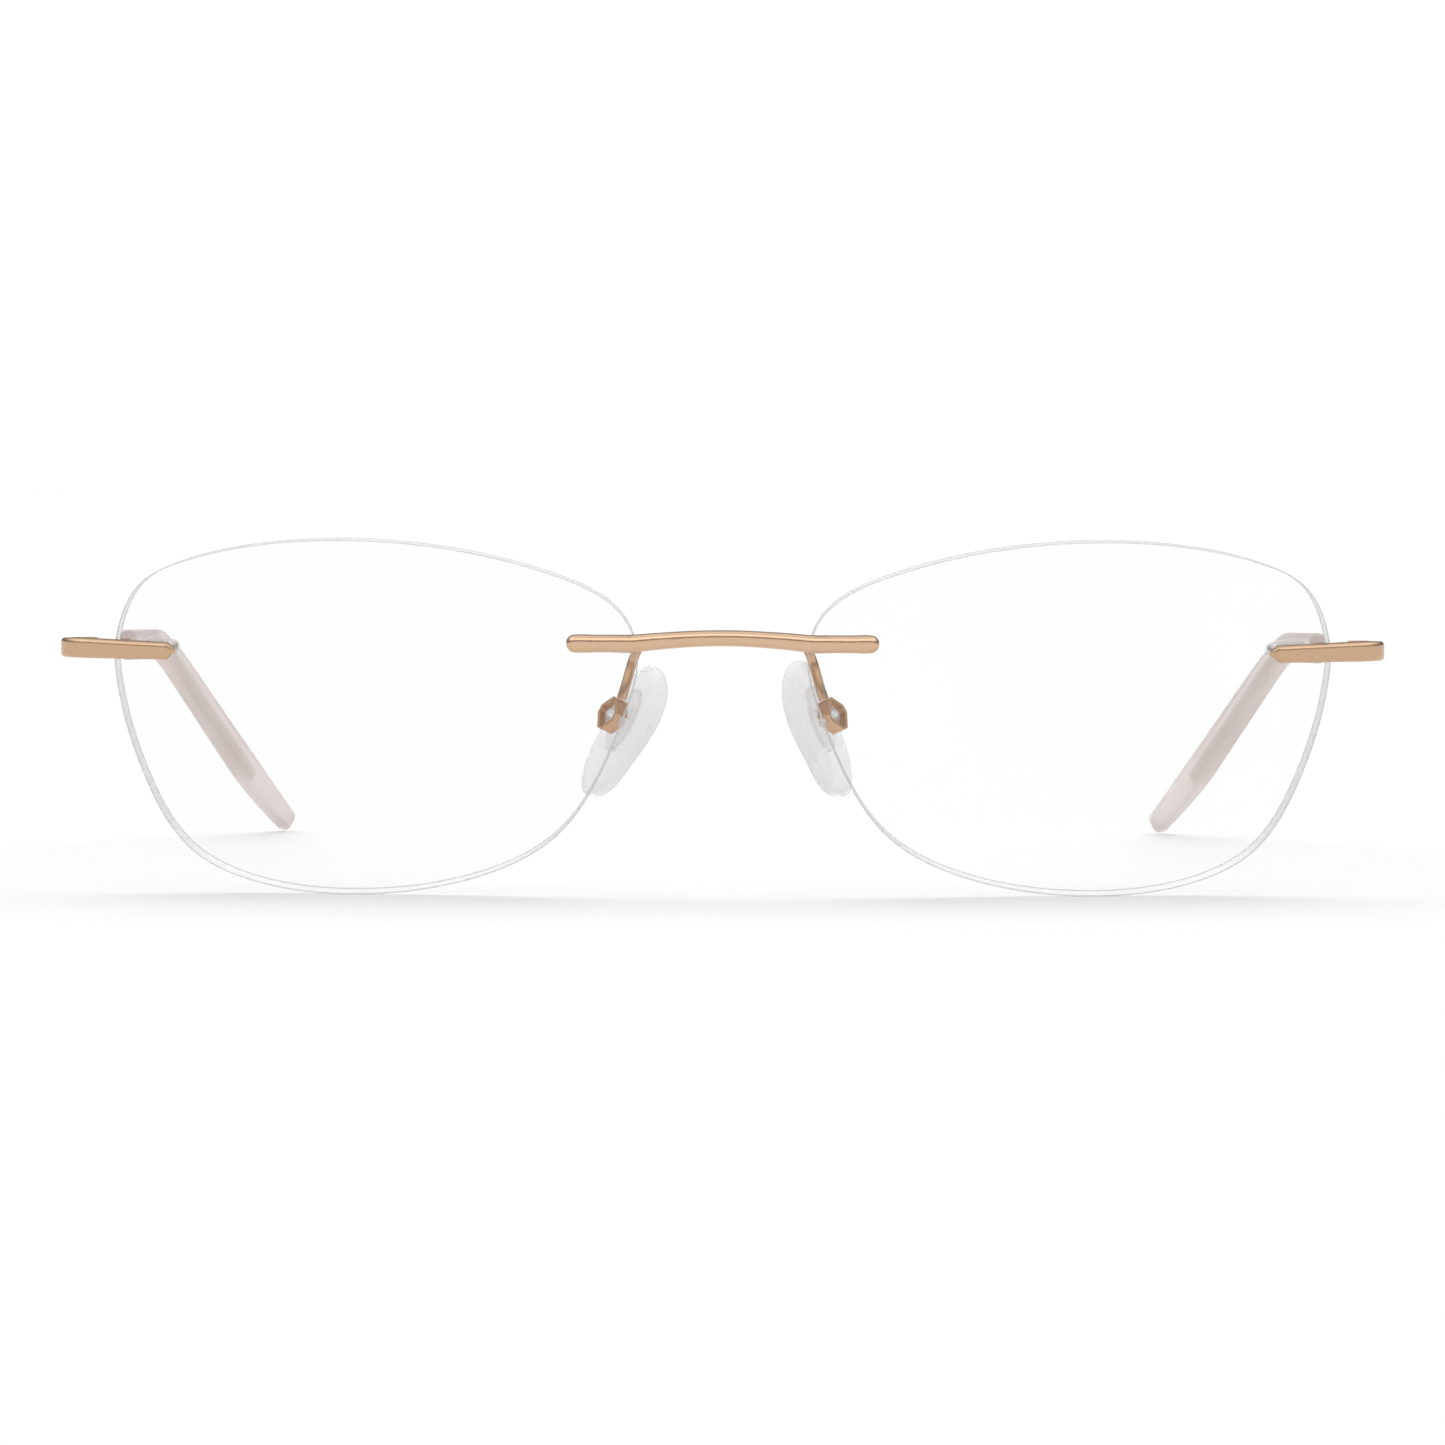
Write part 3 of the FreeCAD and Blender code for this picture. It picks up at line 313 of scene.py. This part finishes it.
# ---------------------------------------------------------------- the lenses' safety bevels
SHARP = math.radians(60.0)
SAME_POINT = 0.001 * MM
OUTLINE_LENGTH = 100.0 * MM   # a lens outline is longer than this, a drilled hole's rim is much shorter
BEVEL_RADIUS = {"front": 0.08 * MM, "back": 0.05 * MM}
BEVEL_INSET = 0.7             # how far a bead's middle lies in from the lens's corner, in bead radii


def sharp_loops(node):
    """The closed chains of points along a node's sharp edges."""
    mesh = bmesh.new()
    mesh.from_mesh(node.data)
    bmesh.ops.remove_doubles(mesh, verts=mesh.verts, dist=SAME_POINT)
    sharp_edges = [e for e in mesh.edges if len(e.link_faces) == 2 and e.calc_face_angle(0.0) > SHARP]
    unused = set(sharp_edges)
    loops = []
    for edge in sharp_edges:          # in the mesh's own order, so that every run makes the same chains
        if edge not in unused:
            continue
        unused.discard(edge)
        chain = [edge.verts[0], edge.verts[1]]
        while chain[-1] is not chain[0]:
            following = [e for e in chain[-1].link_edges if e in unused]
            if not following:
                break
            unused.discard(following[0])
            chain.append(following[0].other_vert(chain[-1]))
        loops.append([v.co.copy() for v in chain])
    mesh.free()
    return loops


def length_of(points):
    """The length of a chain of points."""
    return sum((b - a).length for a, b in zip(points, points[1:]))


def bead(name, points, radius, material):
    """A fine closed bead along points, riding with the front."""
    curve = bpy.data.curves.new(name, "CURVE")
    curve.dimensions = "3D"
    spline = curve.splines.new("POLY")
    spline.points.add(len(points) - 1)
    for spot, point in zip(spline.points, points):
        spot.co = (*point, 1.0)
    spline.use_cyclic_u = True
    curve.bevel_depth = radius
    curve.bevel_resolution = 2
    curve.materials.append(material)
    piece = bpy.data.objects.new(name, curve)
    bpy.context.collection.objects.link(piece)
    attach(piece, "front")


bevel_look = bevel_material()
for side, sign in (("left", 1), ("right", -1)):
    middle_of_curve = Vector(curve_centre(sign))
    for loop in sharp_loops(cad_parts[f"{side}_lens"]):
        if length_of(loop) < OUTLINE_LENGTH:
            continue
        which = "front" if (loop[0] - middle_of_curve).length > LENS_RADIUS - LENS_THICKNESS / 2 else "back"
        radius = BEVEL_RADIUS[which]
        middle = sum(loop, Vector()) / len(loop)
        inward = [point + (middle - point).normalized() * radius * BEVEL_INSET for point in loop[:-1]]
        bead(f"{side}_lens_bevel_{which}", inward, radius, bevel_look)

# ---------------------------------------------------------------- table
FLOOR_SIZE = 80.0


def floor_material():
    """White paper with a faint tooth."""
    material, tree = new_material("white_paper")
    tooth = noise(tree, place(tree), scale=900.0)
    tone = ramp(tree, tooth, (NOISE_LOW, (0.885, 0.885, 0.885)), (NOISE_HIGH, (0.895, 0.895, 0.895)))
    finish(tree, add(tree, "ShaderNodeBsdfDiffuse", Color=tone))
    return material


bpy.ops.mesh.primitive_plane_add(size=FLOOR_SIZE, location=(0, 0, 0))
floor = bpy.context.object
floor.name = "floor"
floor.data.materials.append(floor_material())

# ---------------------------------------------------------------- light
# The room, as (share of the way from straight down to straight up, brightness): dim walls under a bright
# ceiling. The camera itself sees plain white wherever it looks past the glasses and the table.
ROOM = ((0.0, 0.8), (0.51, 0.8), (0.56, 0.36), (0.68, 0.30),
        (0.74, 0.9), (0.86, 1.75), (0.94, 1.7), (1.0, 0.9))
ROOM_BEHIND = 0.6             # the wall behind the glasses is dimmer than the rest, above the table
BEHIND = (0.2, 0.6)           # how far back a direction points where that wall begins, and where it is whole
ABOVE = (0.1, 0.2)            # and how far up
ROOM_ON_PAPER = 0.58          # matt surfaces get this share of the room's light, and the overhead light
OVERHEAD_TOWARD = (0.0, -0.6, -1.0)
OVERHEAD_ENERGY = 1.72
OVERHEAD_SPREAD = math.radians(75.0)


def room():
    """The world's light."""
    world = bpy.data.worlds.new("studio")
    world.use_nodes = True
    sky = world.node_tree
    sky.nodes.clear()
    direction = add(sky, "ShaderNodeTexCoord").outputs["Generated"]
    heading = add(sky, "ShaderNodeSeparateXYZ", Vector=direction)
    back, up = heading.outputs[1], heading.outputs[2]
    height = mapped(sky, up, -1.0, 1.0, 0.0, 1.0, smooth=False)
    walls = ramp(sky, height, *((at, (v, v, v)) for at, v in ROOM))
    behind = maths(sky, "MULTIPLY", mapped(sky, back, *BEHIND, 0.0, 1.0), mapped(sky, up, *ABOVE, 0.0, 1.0))
    dim_wall = mapped(sky, behind, 0.0, 1.0, 1.0, ROOM_BEHIND, smooth=False)
    path = add(sky, "ShaderNodeLightPath")
    on_paper = mapped(sky, path.outputs["Is Diffuse Ray"], 0.0, 1.0, 1.0, ROOM_ON_PAPER, smooth=False)
    lit = add(sky, "ShaderNodeBackground", Color=walls, Strength=maths(sky, "MULTIPLY", on_paper, dim_wall))
    seen = add(sky, "ShaderNodeBackground", Color=(1, 1, 1, 1), Strength=1.0)
    both = mixed_shader(sky, path.outputs["Is Camera Ray"], lit, seen)
    add(sky, "ShaderNodeOutputWorld", Surface=both.outputs[0])
    return world


def overhead_light():
    """A very soft light from far away that no glossy surface mirrors."""
    data = bpy.data.lights.new("overhead", "SUN")
    data.energy = OVERHEAD_ENERGY
    data.angle = OVERHEAD_SPREAD
    lamp = bpy.data.objects.new("overhead", data)
    lamp.rotation_euler = Vector(OVERHEAD_TOWARD).to_track_quat("-Z", "Y").to_euler()
    lamp.visible_glossy = False
    bpy.context.collection.objects.link(lamp)


bpy.context.scene.world = room()
overhead_light()

# ---------------------------------------------------------------- camera
LENS_PLANE_TO_CAMERA = 0.775
CAMERA_HEIGHT = 0.04378
FOCAL_LENGTH = 186.9976       # in millimetres, as the sensor's width is
SENSOR_WIDTH = 36.0
LOOK_DOWN = math.radians(1.8886)
CAMERA_ROLL = math.radians(0.17)
NEAREST, FARTHEST = 0.05, 20.0


def camera_object():
    """The camera, in front of the glasses and a little above them."""
    data = bpy.data.cameras.new("camera")
    data.sensor_width = SENSOR_WIDTH
    data.lens = FOCAL_LENGTH
    data.clip_start = NEAREST
    data.clip_end = FARTHEST
    camera = bpy.data.objects.new("camera", data)
    camera.location = (0.0, LENS_CENTRE.y - LENS_PLANE_TO_CAMERA, CAMERA_HEIGHT)
    camera.rotation_euler = (math.pi / 2 - LOOK_DOWN, 0.0, 0.0)
    camera.rotation_euler.rotate_axis("Z", CAMERA_ROLL)
    bpy.context.collection.objects.link(camera)
    return camera


bpy.context.scene.camera = camera_object()
bpy.context.scene.view_settings.view_transform = "Standard"
bpy.context.scene.cycles.max_bounces = 16
bpy.context.scene.cycles.transparent_max_bounces = 24
bpy.context.scene.cycles.transmission_bounces = 12
